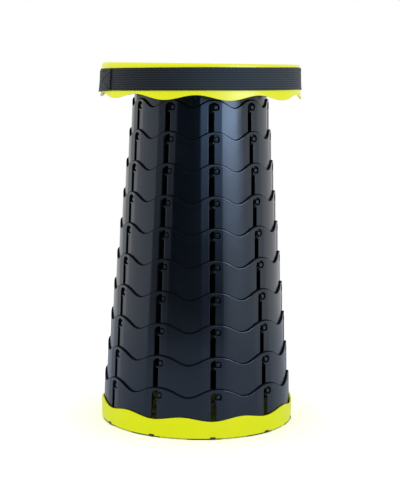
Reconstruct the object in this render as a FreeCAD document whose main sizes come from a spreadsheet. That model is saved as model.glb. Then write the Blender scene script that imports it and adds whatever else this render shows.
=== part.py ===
import FreeCAD, Part
import math
import os

import Sketcher

# Telescopic stool: ten tapered rings and a collar slide into one another between a base tray and a seat.
# The origin is the middle of the floor under the base, +Z is up, and the front faces -Y.
# The stool stands extended, with each stage's pegs in the pockets of the next larger ring.

RINGS = 10
UP = FreeCAD.Vector(0, 0, 1)

# Driving sizes in millimetres and degrees
SIZES = [
    ("stage_travel", 38.5, "height that each stage adds"),
    ("nest_height", 57.5, "clear height inside the folded stool, from base floor to seat plate"),
    ("nest_gap", 0.5, "space left over the rings when they are folded"),
    ("outer_ring_radius", 118.8, "outer radius of the largest ring at its lower edge"),
    ("wall", 2.2, "wall of a ring, measured level at its corners"),
    ("slide_gap", 0.4, "gap between two rings where the pegs engage"),
    ("stage_taper", 0.89, "radius that a ring loses over one stage's travel"),
    ("repeats", 10, "slots, pegs and waves round a ring"),
    ("wave_depth", 10.0, "height of the wave in a ring's upper edge"),
    ("crest_flat", 3.0, "flat left on each wave crest"),
    ("ring_flats", 3, "flats of a ring in each sector, one of them behind each slot"),
    ("rim_flats", 6, "flats of the seat and the base in each sector"),
    ("crest_lead", 2.7, "degrees from a slot to the wave crest over it"),
    ("slot_width", 6.8, "width of a slot"),
    ("slot_foot", 4.2, "height of a slot's lower end over the ring's lower edge"),
    ("head_height", 4.6, "height of a slot's head over the peg's middle"),
    ("head_corner", 2.4, "bevel at the corners of a slot's head"),
    ("peg_row", 7.4, "height of the pegs over the ring's lower edge"),
    ("peg_radius", 2.8, "half the width of a peg, across its corners"),
    ("peg_offset", 6.3, "sideways distance from slot to peg"),
    ("peg_reach", 1.6, "how far a peg stands out past the flat that it is on"),
    ("peg_seat_gap", 0.3, "gap under a peg in its pocket"),
    ("pocket_gap", 0.9, "gap beside a peg in its pocket"),
    ("relief_gap", 0.3, "clearance round a peg in the relief behind its pocket"),
    ("slot_phase", 9.5, "degrees from the front to the nearest slot"),
    ("pad_height", 2.0, "thickness of a foot pad"),
    ("pad_width", 15.0, "radial width of a foot pad"),
    ("pad_lead", 14.5, "degrees of foot pad before its tab"),
    ("pad_tail", 5.0, "degrees of foot pad after its tab"),
    ("tab_width", 6.5, "width of a foot pad's tab"),
    ("tab_height", 1.2, "height of a tab over its pad"),
    ("tab_gap", 0.25, "gap round a tab in its notch"),
    ("tab_set", 0.4, "how far a tab's face lies behind the rim's corners"),
    ("floor_thick", 2.5, "thickness of the base floor"),
    ("rim_wall", 2.3, "wall of the base rim"),
    ("rim_gap", 0.3, "gap between the largest ring and the base rim"),
    ("rim_lift", 0.8, "height of the rim's lower edge over the floor that the stool stands on"),
    ("rim_crest", 25.5, "height of the base rim's crests over that floor"),
    ("rim_wave", 4.7, "height of the wave in the base rim"),
    ("rim_round", 1.5, "bevel under the base rim"),
    ("hub_radius", 76.0, "radius of the ribbed area in the middle"),
    ("hub_ring_radius", 14.0, "radius of the middle ring that the ribs start from"),
    ("rib_thick", 2.0, "thickness of a rib"),
    ("base_rib_height", 4.0, "height of the base ribs"),
    ("seat_rib_height", 8.0, "height of the seat ribs"),
    ("seat_radius", 125.0, "outer radius of the seat"),
    ("seat_plate", 3.0, "thickness of the seat plate"),
    ("seat_round", 2.0, "bevel round the top of the seat"),
    ("skirt_wall", 2.4, "wall of the seat skirt"),
    ("skirt_depth", 44.8, "depth of the skirt under the seat's top, at its lowest"),
    ("skirt_wave", 6.2, "height of the wave in the skirt"),
    ("skirt_lead", 6.2, "degrees from a slot to the skirt's low point beside it"),
    ("collar_flange", 16.0, "width of the collar's flange"),
    ("flange_thick", 2.5, "thickness of the collar's flange"),
    ("boss_height", 9.0, "length of a screw boss under the seat plate"),
    ("boss_radius", 4.0, "outer radius of a screw boss"),
    ("boss_inset", 10.0, "distance of the bosses inside the collar's wall"),
    ("screws", 5, "seat screws"),
    ("screw_radius", 1.5, "radius of a screw's shank"),
    ("screw_bore_gap", 0.15, "clearance of the screw in the flange"),
    ("screw_length", 8.0, "length of a screw under its head"),
    ("screw_head_radius", 3.2, "radius of a screw's head"),
    ("screw_head_height", 1.8, "height of a screw's head"),
    ("strap_width", 25.0, "width of the webbing"),
    ("strap_thick", 1.1, "thickness of the webbing"),
    ("strap_gap", 0.2, "gap between the webbing and what it lies on"),
    ("strap_drop", 7.0, "height of the seat's top over the webbing's upper edge"),
    ("bar_radius", 1.1, "radius of the bar in a strap lug"),
    ("lug_width", 9.0, "width of a strap lug along the skirt"),
    ("lug_thick", 2.0, "thickness of a lug's upper and lower plate"),
    ("lug_gap", 0.5, "gap between the webbing's edges and the lug's plates"),
    ("lug_reach", 0.4, "how far a lug's plates reach past its bar"),
]

doc = FreeCAD.newDocument("telescopic_stool")
sheet = doc.addObject("Spreadsheet::Sheet", "sizes")
for row, (alias, value, meaning) in enumerate(SIZES, start=1):
    sheet.set("A%d" % row, alias)
    sheet.set("B%d" % row, str(value))
    sheet.set("C%d" % row, meaning)
    sheet.setAlias("B%d" % row, alias)
doc.recompute()


def value_of(expression):
    result = sheet.evalExpression(str(expression))
    return float(getattr(result, "Value", result))


def named(expression):
    # Bare names of sizes in an expression stand for cells of the sheet
    text = str(expression)
    for alias in sorted((row[0] for row in SIZES), key=len, reverse=True):
        text = replace_word(text, alias)
    return text


def replace_word(text, word):
    parts = []
    at = 0
    while True:
        hit = text.find(word, at)
        if hit < 0:
            parts.append(text[at:])
            return "".join(parts)
        before = text[hit - 1] if hit else " "
        after = text[hit + len(word)] if hit + len(word) < len(text) else " "
        whole = not (before.isalnum() or before in "_.") and not (after.isalnum() or after == "_")
        parts.append(text[at:hit] + ("sizes." + word if whole else word))
        at = hit + len(word)


# Sizes that follow from the driving ones
RING_STEP = "(wall + slide_gap + stage_taper)"
SLOPE = "(stage_taper / stage_travel)"
FLOOR_TOP = "(pad_height + floor_thick)"
RING_HEIGHT = "(nest_height - nest_gap)"
HEAD = "(stage_travel + peg_row)"
SECTOR = "(360 / repeats)"
RIM_INNER = "((outer_ring_radius + rim_gap) / cos(180 / (rim_flats * repeats)))"
RIM_OUTER = "(%s + rim_wall)" % RIM_INNER
SEAT_UNDER = "(%s + %d * stage_travel + nest_height)" % (FLOOR_TOP, RINGS)


def stage_radius(stage):
    """Outer radius of a stage at its lower edge; stage 0 is the collar."""
    return "(outer_ring_radius - %d * %s)" % (RINGS - stage, RING_STEP)


def stage_floor(stage):
    """Height of a stage's lower edge with the stool extended."""
    return "(%s + %d * stage_travel)" % (FLOOR_TOP, RINGS - stage)


def radius_at(stage, height):
    return "(%s - %s * (%s))" % (stage_radius(stage), SLOPE, height)


BOSS_CIRCLE = "(%s - wall - boss_inset)" % radius_at(0, "nest_height")


def new_body(name, height="0", turn="0"):
    """A body at a height, turned about the vertical."""
    body = doc.addObject("PartDesign::Body", name)
    body.Label = name
    body.Placement = FreeCAD.Placement(FreeCAD.Vector(0, 0, value_of(named(height))),
                                       FreeCAD.Rotation(UP, value_of(named(turn))))
    body.setExpression("Placement.Base.z", named(height))
    return body


def origin_feature(body, role):
    return [item for item in body.Origin.OriginFeatures if item.Role == role][0]


def new_sketch(body, name, plane="XZ_Plane", out="0", turn="0"):
    """A sketch on one of the body's planes, moved out along its normal and turned about the vertical."""
    sketch = body.newObject("Sketcher::SketchObject", name)
    sketch.AttachmentSupport = [(origin_feature(body, plane), "")]
    sketch.MapMode = "FlatFace"
    away = value_of(named(out))
    angle = value_of(named(turn))
    if plane == "XZ_Plane":
        turned = FreeCAD.Rotation(FreeCAD.Vector(0, 1, 0), angle)
        sketch.AttachmentOffset = FreeCAD.Placement(turned.multVec(UP * away), turned)
    else:
        sketch.AttachmentOffset = FreeCAD.Placement(UP * away, FreeCAD.Rotation(UP, angle))
        sketch.setExpression("AttachmentOffset.Base.z", named(out))
    return sketch


def add_bound(sketch, rows):
    """Adds constraints in one go; a row is (constraint, expression or None)."""
    numbers = sketch.addConstraint([row[0] for row in rows])
    for number, row in zip(numbers, rows):
        if row[1] is not None:
            sketch.setExpression("Constraints[%d]" % number, row[1])


def tie(geometry, end, across, up):
    """Rows that tie one end of a line to the sketch's origin by two bound distances."""
    return [(Sketcher.Constraint(kind, -1, 1, geometry, end, value_of(expression)), expression)
            for kind, expression in (("DistanceX", named(across)), ("DistanceY", named(up)))]


def outline(sketch, corners):
    """A closed outline of straight lines through corners, each (across, up)."""
    points = [FreeCAD.Vector(value_of(named(across)), value_of(named(up)), 0) for across, up in corners]
    lines = [sketch.addGeometry(Part.LineSegment(start, finish))
             for start, finish in zip(points, points[1:] + points[:1])]
    rows = []
    for line, following, (across, up) in zip(lines, lines[1:] + lines[:1], corners):
        rows.append((Sketcher.Constraint("Coincident", line, 2, following, 1), None))
        rows += tie(line, 1, across, up)
    add_bound(sketch, rows)


def flats_of(per_sector):
    """Number of flats round a piece."""
    return int(value_of(named("%s * repeats" % per_sector)))


def at_flat(radius, per_sector):
    """Distance from the axis to a flat, where the corners lie at this radius."""
    return "((%s) * cos(180 / (%s * repeats)))" % (radius, per_sector)


def polygon(sketch, radius, per_sector):
    """A regular polygon round the axis with a flat at the front, its corners at this radius."""
    count = flats_of(per_sector)
    turns = [360.0 * (i - 0.5) / count for i in range(count)]
    outline(sketch, [("(%s) * sin(%.3f)" % (radius, turn), "-(%s) * cos(%.3f)" % (radius, turn))
                     for turn in turns])


def octagon(sketch, across, up, radius):
    """Eight sides round a point, their middles at this radius: the lean form of a small hole or boss."""
    reach = "(%s) / cos(22.5)" % radius
    outline(sketch, [("%s + %s * sin(%.1f)" % (across, reach, 45 * i + 22.5),
                      "%s - %s * cos(%.1f)" % (up, reach, 45 * i + 22.5)) for i in range(8)])


def frustum(body, name, per_sector, lower, upper, cut=False):
    """A many-sided block between two levels; each is (height, radius of its corners)."""
    sketches = []
    for part, (height, radius) in (("lower", lower), ("upper", upper)):
        sketch = new_sketch(body, "%s_%s" % (name, part), "XY_Plane", out=height)
        polygon(sketch, radius, per_sector)
        sketches.append(sketch)
    kind = "PartDesign::SubtractiveLoft" if cut else "PartDesign::AdditiveLoft"
    feature = body.newObject(kind, name)
    feature.Profile = sketches[0]
    feature.Sections = [sketches[1]]
    feature.Ruled = True
    feature.Refine = False
    doc.recompute()
    return feature


def prism(body, name, per_sector, low, height, radius, cut=False):
    """A straight many-sided block round the axis, with a flat at the front; radius is that of its corners."""
    kind = "PartDesign::SubtractivePrism" if cut else "PartDesign::AdditivePrism"
    feature = body.newObject(kind, name)
    feature.AttachmentSupport = [(origin_feature(body, "XY_Plane"), "")]
    feature.MapMode = "FlatFace"
    feature.Polygon = flats_of(per_sector)
    turn = FreeCAD.Rotation(UP, 180.0 / feature.Polygon - 90)
    feature.AttachmentOffset = FreeCAD.Placement(UP * value_of(named(low)), turn)
    feature.setExpression("AttachmentOffset.Base.z", named(low))
    feature.setExpression("Height", named(height))
    feature.setExpression("Circumradius", named(radius))
    feature.Refine = False
    doc.recompute()
    return feature


def chamfer_level(body, name, height, size):
    """Bevels the edges of the level face at this height."""
    last = body.Tip
    faces = [i + 1 for i, face in enumerate(last.Shape.Faces)
             if abs(face.BoundBox.ZMin - value_of(named(height))) < 1e-6 and face.BoundBox.ZLength < 1e-6]
    feature = body.newObject("PartDesign::Chamfer", name)
    feature.Base = (last, ["Face%d" % number for number in faces])
    feature.setExpression("Size", named(size))
    doc.recompute()
    return feature


def tapered_shell(body, stage, height):
    """The wall of a stage: a many-sided taper with a smaller one taken out."""
    foot = stage_radius(stage)
    brim = radius_at(stage, height)
    frustum(body, "shell", "ring_flats", ("0", foot), (height, brim))
    frustum(body, "hollow", "ring_flats", ("0", "%s - wall" % foot), (height, "%s - wall" % brim), True)


def pad(body, name, sketch, length, reverse=False):
    feature = body.newObject("PartDesign::Pad", name)
    feature.Profile = sketch
    feature.Length = value_of(named(length))
    feature.setExpression("Length", named(length))
    feature.Reversed = reverse
    feature.Refine = False
    doc.recompute()
    return feature


def pocket(body, name, sketch, length, reverse=True):
    """Cuts away from the sketch along its normal, and stops the build if nothing was cut."""
    before = body.Shape.Volume
    feature = body.newObject("PartDesign::Pocket", name)
    feature.Profile = sketch
    feature.Length = value_of(named(length))
    feature.setExpression("Length", named(length))
    feature.Reversed = reverse
    feature.Refine = False
    doc.recompute()
    if not body.Shape.Volume < before:
        raise RuntimeError("%s cuts nothing from %s" % (name, body.Label))
    return feature


def repeat(body, feature, count="repeats"):
    """Repeats a feature evenly round the vertical axis."""
    pattern = body.newObject("PartDesign::PolarPattern", feature.Name + "_round")
    pattern.Originals = [feature]
    pattern.Axis = (origin_feature(body, "Z_Axis"), [""])
    pattern.Angle = 360
    pattern.Occurrences = int(value_of(named(count)))
    pattern.setExpression("Occurrences", named(count))
    pattern.Refine = False
    body.Tip = pattern
    doc.recompute()
    return pattern


WAVE_STEPS = 4


def wave_notch(half_width, crest, depth, down=1):
    """Outline of one trough between two crests; down is -1 for a notch in a lower edge."""
    corners = []
    for i in range(WAVE_STEPS + 1):
        share = 2.0 * i / WAVE_STEPS - 1
        drop = (1 + math.cos(math.pi * share)) / 2
        corners.append(("(%s) * %.6f" % (half_width, share),
                        "%s - (%s) * %.6f" % (crest, depth, down * drop)))
    beyond = "%s + (%s) * %d" % (crest, depth, down)
    return corners + [(half_width, beyond), ("-(%s)" % half_width, beyond)]


def cut_wave(body, name, radius, crest, depth, turn, down=1):
    """Cuts the wave into an upper or lower edge, one trough per sector."""
    half_width = "((%s) * tan(%s / 2) - crest_flat / 2)" % (radius, SECTOR)
    start = "(%s) / 2" % radius
    sketch = new_sketch(body, name + "_outline", out=start, turn=turn)
    outline(sketch, wave_notch(half_width, crest, depth, down))
    repeat(body, pocket(body, name, sketch, "(%s)" % radius))


def hexagon(across, up, radius):
    """Corners of a regular hexagon with level flats."""
    low = "%s - (%s) * cos(30)" % (up, radius)
    high = "%s + (%s) * cos(30)" % (up, radius)
    near = "(%s) / 2" % radius
    return [("%s - %s" % (across, near), low), ("%s + %s" % (across, near), low),
            ("%s + (%s)" % (across, radius), up), ("%s + %s" % (across, near), high),
            ("%s - %s" % (across, near), high), ("%s - (%s)" % (across, radius), up)]


def peg_flat(stage):
    """Distance from the axis to the flat that a stage's pegs stand on, at their height."""
    return at_flat(radius_at(stage, "peg_row"), "ring_flats")


def peg_tip(stage):
    """Distance from the axis to the flat tips of a stage's pegs."""
    return "(%s + peg_reach)" % peg_flat(stage)


def add_pegs(body, stage):
    """Ten pegs round the lower edge, each beside a slot's column."""
    sketch = new_sketch(body, "peg_outline", out="%s - wall / 2" % peg_flat(stage))
    outline(sketch, hexagon("peg_offset", "peg_row", "peg_radius"))
    repeat(body, pad(body, "peg", sketch, "wall / 2 + peg_reach"))


def build_ring(stage):
    """A tapered ring: wavy upper edge, slots with side pockets, reliefs behind the pockets, and pegs."""
    body = new_body("ring_%02d" % stage, stage_floor(stage), "slot_phase")
    tapered_shell(body, stage, RING_HEIGHT)
    brim = radius_at(stage, RING_HEIGHT)
    cut_wave(body, "wave", brim, RING_HEIGHT, "wave_depth", "crest_lead + %s / 2" % SECTOR)

    # The pocket opens off the slot, with a ledge under the peg
    half = "slot_width / 2"
    far = "(peg_offset + peg_radius + pocket_gap)"
    ledge = "(%s - peg_radius * cos(30) - peg_seat_gap)" % HEAD
    bevel = "(peg_radius / 2)"
    top = "(%s + head_height)" % HEAD
    sketch = new_sketch(body, "slot_outline", out="%s / 2" % stage_radius(stage))
    outline(sketch, [
        ("-%s" % half, "slot_foot"),
        (half, "slot_foot"),
        (half, ledge),
        ("%s - %s" % (far, bevel), ledge),
        (far, HEAD),
        ("%s - head_corner" % far, top),
        ("-%s + head_corner" % half, top),
        ("-%s" % half, "%s - head_corner" % top)])
    repeat(body, pocket(body, "slot", sketch, stage_radius(stage)))

    # The relief lets the pegs of the next smaller stage pass down behind the outer skin
    start = "(%s / 2)" % peg_tip(stage - 1)
    sketch = new_sketch(body, "relief_outline", out=start)
    outline(sketch, [
        ("peg_offset - peg_radius - relief_gap", "-1"),
        ("peg_offset + peg_radius + relief_gap", "-1"),
        ("peg_offset + peg_radius + relief_gap", "%s + peg_radius + relief_gap" % HEAD),
        ("peg_offset - peg_radius - relief_gap", "%s + peg_radius + relief_gap" % HEAD)])
    repeat(body, pocket(body, "relief", sketch, "%s + relief_gap - %s" % (peg_tip(stage - 1), start)))
    add_pegs(body, stage)
    return body


def build_collar():
    """The innermost stage: a plain tapered wall with pegs, and a flange that the seat is screwed to."""
    body = new_body("seat_collar", stage_floor(0), "slot_phase")
    tapered_shell(body, 0, "nest_height")
    shelf = "(nest_height - boss_height)"
    under = "(%s - flange_thick)" % shelf
    prism(body, "flange", "ring_flats", under, "flange_thick", "%s - wall / 2" % radius_at(0, shelf))
    opening = "%s - wall - collar_flange" % radius_at(0, shelf)
    prism(body, "flange_opening", "ring_flats", under, "flange_thick", opening, True)
    sketch = new_sketch(body, "screw_hole_outline", "XY_Plane", out="%s - 1" % under)
    octagon(sketch, "0", "-%s" % BOSS_CIRCLE, "screw_radius + screw_bore_gap")
    repeat(body, pocket(body, "screw_hole", sketch, "flange_thick + 2"), "screws")
    add_pegs(body, 0)
    return body


def add_ribs(body, name, level, height, reverse):
    """Radial ribs and the ring that they start from, standing on a plate."""
    sketch = new_sketch(body, name + "_outline", "XY_Plane", out=level)
    outline(sketch, [
        ("-rib_thick / 2", "-hub_radius"),
        ("rib_thick / 2", "-hub_radius"),
        ("rib_thick / 2", "-hub_ring_radius"),
        ("-rib_thick / 2", "-hub_ring_radius")])
    repeat(body, pad(body, name, sketch, height, reverse))
    sketch = new_sketch(body, name + "_ring_outline", "XY_Plane", out=level)
    octagon(sketch, "0", "0", "hub_ring_radius + rib_thick")
    octagon(sketch, "0", "0", "hub_ring_radius")
    pad(body, name + "_ring", sketch, height, reverse)


def build_seat_cap():
    """The seat: a plate with a wavy skirt, ribs, screw bosses and two strap lugs."""
    body = new_body("seat_cap", SEAT_UNDER, "slot_phase")
    low = "(seat_plate - skirt_depth)"
    prism(body, "drum", "rim_flats", low, "skirt_depth", "seat_radius")
    chamfer_level(body, "shoulder", "seat_plate", "seat_round")
    prism(body, "hollow", "rim_flats", low, "skirt_depth - seat_plate", "seat_radius - skirt_wall", True)
    cut_wave(body, "skirt_wave_cut", "seat_radius", low, "skirt_wave", "skirt_lead + %s / 2" % SECTOR, -1)
    add_ribs(body, "seat_rib", "0", "seat_rib_height", True)
    sketch = new_sketch(body, "boss_outline", "XY_Plane")
    octagon(sketch, "0", "-%s" % BOSS_CIRCLE, "boss_radius")
    repeat(body, pad(body, "boss", sketch, "boss_height", True), "screws")
    sketch = new_sketch(body, "boss_bore_outline", "XY_Plane", out="-boss_height - 1")
    octagon(sketch, "0", "-%s" % BOSS_CIRCLE, "screw_radius")
    repeat(body, pocket(body, "boss_bore", sketch, "screw_length - flange_thick + 2"), "screws")
    add_lugs(body)
    return body


# The strap folds round a bar that stands clear of the skirt by the webbing's thickness and its gaps
BAR_AXIS = "(seat_radius + strap_thick + 3 * strap_gap + bar_radius)"
STRAP_TOP = "(seat_plate - strap_drop)"


def add_lugs(body):
    """Two lugs, left and right: a plate over and under the webbing, joined by a bar."""
    turn = "90 - slot_phase"
    reach = "(%s + bar_radius + lug_reach)" % BAR_AXIS
    root = "(seat_radius - skirt_wall / 2)"
    over = "(%s + lug_gap)" % STRAP_TOP
    under = "(%s - strap_width - lug_gap - lug_thick)" % STRAP_TOP
    for name, level in (("lug_upper", over), ("lug_lower", under)):
        sketch = new_sketch(body, name + "_outline", "XY_Plane", out=level, turn=turn)
        outline(sketch, [
            ("-lug_width / 2", "-%s" % root),
            ("lug_width / 2", "-%s" % root),
            ("lug_width / 4", "-%s" % reach),
            ("-lug_width / 4", "-%s" % reach)][::-1])
        repeat(body, pad(body, name, sketch, "lug_thick"), "2")
    sketch = new_sketch(body, "lug_bar_outline", "XY_Plane", out="%s + lug_thick / 2" % under, turn=turn)
    octagon(sketch, "0", "-%s" % BAR_AXIS, "bar_radius")
    repeat(body, pad(body, "lug_bar", sketch, "strap_width + 2 * lug_gap + lug_thick"), "2")


def pin(sides, radius, low, high):
    """A many-sided pin about the vertical."""
    turns = [2 * math.pi * i / sides for i in range(sides + 1)]
    corners = [FreeCAD.Vector(radius * math.cos(turn), radius * math.sin(turn), low) for turn in turns]
    return Part.Face(Part.makePolygon(corners)).extrude(UP * (high - low))


def build_seat_screws():
    """Self-tapping screws, heads under the collar's flange."""
    screws = doc.addObject("Part::Feature", "seat_screws")
    screws.Label = "seat_screws"
    seat = value_of(named("-boss_height - flange_thick"))
    head = pin(6, value_of("sizes.screw_head_radius"), seat - value_of("sizes.screw_head_height"), seat)
    shank = pin(8, value_of(named("screw_radius - screw_bore_gap / 2")), seat,
                seat + value_of("sizes.screw_length"))
    one = head.fuse(shank)
    count = int(value_of("sizes.screws"))
    solids = []
    for i in range(count):
        copy = one.copy()
        copy.translate(FreeCAD.Vector(0, -value_of(named(BOSS_CIRCLE)), 0))
        copy.rotate(FreeCAD.Vector(), UP, 360.0 * i / count)
        solids.append(copy)
    screws.Shape = Part.makeCompound(solids)
    screws.Placement = FreeCAD.Placement(FreeCAD.Vector(0, 0, value_of(named(SEAT_UNDER))),
                                         FreeCAD.Rotation(UP, value_of("sizes.slot_phase")))
    return screws


def build_base_tray():
    """The foot: a floor and a wavy rim, with pockets for the largest ring's pegs and notches for the pads."""
    body = new_body("base_tray", "0", "slot_phase")
    prism(body, "drum", "rim_flats", "rim_lift", "rim_crest - rim_lift", RIM_OUTER)
    chamfer_level(body, "bevel", "rim_lift", "rim_round")
    prism(body, "hollow", "rim_flats", FLOOR_TOP, "rim_crest - %s" % FLOOR_TOP, RIM_INNER, True)
    recess = "(%s - tab_gap)" % RIM_INNER
    prism(body, "recess", "rim_flats", "rim_lift", "pad_height - rim_lift", recess, True)
    cut_wave(body, "rim_wave_cut", RIM_OUTER, "rim_crest", "rim_wave", "0")

    # Blind pockets in the rim hold the pegs of the largest ring
    sketch = new_sketch(body, "peg_hold_outline", out="%s / 2" % RIM_INNER)
    side = "(peg_radius + relief_gap)"
    outline(sketch, [
        ("peg_offset - %s" % side, FLOOR_TOP),
        ("peg_offset + %s" % side, FLOOR_TOP),
        ("peg_offset + %s" % side, "%s + peg_row + %s" % (FLOOR_TOP, side)),
        ("peg_offset - %s" % side, "%s + peg_row + %s" % (FLOOR_TOP, side))])
    repeat(body, pocket(body, "peg_hold", sketch, "%s + relief_gap - %s / 2" % (peg_tip(RINGS), RIM_INNER)))

    # Notches in the rim's lower edge take the tabs of the foot pads
    notch_start = "%s - 3 * tab_gap - rim_wall" % at_flat(RIM_INNER, "rim_flats")
    sketch = new_sketch(body, "tab_notch_outline", out=notch_start)
    notch = "(tab_width / 2 + tab_gap)"
    outline(sketch, [
        ("-%s" % notch, "0"),
        (notch, "0"),
        (notch, "pad_height + tab_height + tab_gap"),
        ("-%s" % notch, "pad_height + tab_height + tab_gap")])
    repeat(body, pocket(body, "tab_notch", sketch, "3 * rim_wall + 2"))
    add_ribs(body, "base_rib", FLOOR_TOP, "base_rib_height", False)
    return body


# Chords along the curved edges of a foot pad
PAD_CHORDS = 3


def build_foot_pad(number):
    """A flat rubber pad along the rim, with a tab that stands in the rim's notch."""
    turn = "slot_phase + %d * %s" % (number - 1, SECTOR)
    body = new_body("foot_pad_%02d" % number, "0", turn)
    outer = "(%s - 2 * tab_gap)" % at_flat(RIM_INNER, "rim_flats")
    inner = "(%s - pad_width)" % outer
    spread = "(pad_lead + pad_tail)"
    turns = ["-pad_lead + %s * %d / %d" % (spread, i, PAD_CHORDS) for i in range(PAD_CHORDS + 1)]
    sketch = new_sketch(body, "pad_outline", "XY_Plane")
    outline(sketch, [("%s * sin(%s)" % (outer, angle), "-%s * cos(%s)" % (outer, angle)) for angle in turns]
            + [("%s * sin(%s)" % (inner, angle), "-%s * cos(%s)" % (inner, angle)) for angle in turns[::-1]])
    pad(body, "pad", sketch, "pad_height")
    tab_end = "(%s - tab_set)" % RIM_OUTER
    tab_start = "(%s - rim_wall)" % outer
    sketch = new_sketch(body, "tab_outline", "XY_Plane", out="rim_lift")
    outline(sketch, [
        ("-tab_width / 2", "-%s" % tab_end),
        ("tab_width / 2", "-%s" % tab_end),
        ("tab_width / 2", "-%s" % tab_start),
        ("-tab_width / 2", "-%s" % tab_start)])
    pad(body, "tab", sketch, "pad_height + tab_height - rim_lift")
    return body


# Chords of the band, and degrees from the front to the ends of the band beside the bars
BAND_CHORDS = 30
BAND_END = 89.5


def build_strap():
    """Webbing round the front half of the skirt, each end folded round a lug's bar."""
    body = new_body("strap", "%s + %s - strap_width" % (SEAT_UNDER, STRAP_TOP))
    inner = "(seat_radius + 2 * strap_gap)"
    outer = "(%s + strap_thick)" % inner
    turns = [BAND_END * (2.0 * i / BAND_CHORDS - 1) for i in range(BAND_CHORDS + 1)]
    sketch = new_sketch(body, "band_outline", "XY_Plane")
    outline(sketch, [("%s * sin(%.3f)" % (outer, turn), "-%s * cos(%.3f)" % (outer, turn)) for turn in turns]
            + [("%s * sin(%.3f)" % (inner, turn), "-%s * cos(%.3f)" % (inner, turn)) for turn in turns[::-1]])
    pad(body, "band", sketch, "strap_width")
    for name, side in (("left", "-"), ("right", "")):
        sketch = new_sketch(body, name + "_loop_outline", "XY_Plane")
        octagon(sketch, side + BAR_AXIS, "0", "bar_radius + strap_gap + strap_thick")
        octagon(sketch, side + BAR_AXIS, "0", "bar_radius + strap_gap")
        pad(body, name + "_loop", sketch, "strap_width")
    return body


pieces = [build_seat_cap(), build_collar(), build_seat_screws()]
pieces += [build_ring(stage) for stage in range(1, RINGS + 1)]
pieces += [build_base_tray()]
pieces += [build_foot_pad(number) for number in range(1, int(value_of("sizes.repeats")) + 1)]
pieces += [build_strap()]
doc.recompute()

failed = [item.Name for item in doc.Objects if "Invalid" in item.State or "Error" in item.State]
if failed:
    raise RuntimeError("these objects failed: " + ", ".join(failed))
for piece in pieces:
    if piece.Shape.isNull() or not piece.Shape.isValid() or piece.Shape.Volume <= 0:
        raise RuntimeError("%s has no valid shape" % piece.Label)

os.makedirs("parts", exist_ok=True)
for piece in pieces:
    piece.Shape.exportStep("parts/%s.step" % piece.Label)
    box = piece.Shape.BoundBox
    print("%-14s solids %2d  volume %9.1f  z %.1f to %.1f" % (
        piece.Label, len(piece.Shape.Solids), piece.Shape.Volume, box.ZMin, box.ZMax))
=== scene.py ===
# %% [markdown]
# Telescopic stool: ten tapered rings of black plastic slide out of one another between a yellow-green
# base and a yellow seat, and a webbing strap runs round the front of the seat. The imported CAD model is
# the frame. Each visible piece is modelled again round it, with the rounded edges that catch light.

# %% Load the frame
import math

import bmesh
import bpy
from mathutils import Matrix, Vector


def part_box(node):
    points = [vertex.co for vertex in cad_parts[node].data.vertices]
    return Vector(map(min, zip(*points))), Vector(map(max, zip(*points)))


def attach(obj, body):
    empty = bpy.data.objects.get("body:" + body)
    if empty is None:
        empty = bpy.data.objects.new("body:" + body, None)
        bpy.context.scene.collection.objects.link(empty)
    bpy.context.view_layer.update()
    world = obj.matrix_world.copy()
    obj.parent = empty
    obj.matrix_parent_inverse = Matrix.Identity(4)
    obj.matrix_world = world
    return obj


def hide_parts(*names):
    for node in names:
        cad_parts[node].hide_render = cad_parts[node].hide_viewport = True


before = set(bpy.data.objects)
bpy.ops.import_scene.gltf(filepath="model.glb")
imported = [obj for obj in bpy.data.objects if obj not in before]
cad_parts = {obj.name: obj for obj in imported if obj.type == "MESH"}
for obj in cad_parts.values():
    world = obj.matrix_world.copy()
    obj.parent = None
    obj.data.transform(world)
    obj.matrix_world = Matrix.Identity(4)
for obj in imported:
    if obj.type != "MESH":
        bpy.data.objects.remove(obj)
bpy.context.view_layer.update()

MM = 0.001

# %% [markdown]
# The photograph was taken from the height of the seat, about 1.7 m in front, with the lens tilted a
# little down and the frame cropped below its middle. A lens shift gives that crop, and a small roll
# gives the slope of the seat in the picture. The numbers are a fit to outlines and pegs in the picture.

# %% Camera
FRAME_HIGH = 500
FOCAL_PIXELS = 1332.6
SHIFT_PIXELS = (1.2, -87.6)
SENSOR = 36.0
CAMERA_PLACE = (0, -1.6872, 0.4518)
PITCH, YAW, ROLL = 90 - 4.317, 0.043, 0.765
camera_data = bpy.data.cameras.new("camera")
camera = bpy.data.objects.new("camera", camera_data)
bpy.context.scene.collection.objects.link(camera)
camera_data.sensor_width = SENSOR
camera_data.lens = FOCAL_PIXELS / FRAME_HIGH * SENSOR
camera_data.shift_x, camera_data.shift_y = (pixels / FRAME_HIGH for pixels in SHIFT_PIXELS)
camera_data.clip_start, camera_data.clip_end = 0.05, 50
camera.matrix_world = (
    Matrix.Translation(CAMERA_PLACE)
    @ Matrix.Rotation(math.radians(YAW), 4, "Z")
    @ Matrix.Rotation(math.radians(PITCH), 4, "X")
    @ Matrix.Rotation(math.radians(ROLL), 4, "Z")
)
bpy.context.scene.camera = camera
bpy.context.scene.view_settings.view_transform = "Standard"
print("lens, mm:", round(camera_data.lens, 1))

# %% [markdown]
# Colours are written as they look on a screen, and one function turns them to the linear values that
# a shader works in. The others add a node with its settings and links, a noise whose features have a
# real size, and a bump of a real depth, so that a pattern keeps its scale on every piece.

# %% Colour and node helpers
def linear(hex_code):
    """An sRGB hex colour as linear RGBA."""
    parts = [int(hex_code[i:i + 2], 16) / 255 for i in (1, 3, 5)]
    return tuple(c / 12.92 if c <= 0.04045 else ((c + 0.055) / 1.055) ** 2.4 for c in parts) + (1.0,)


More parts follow.
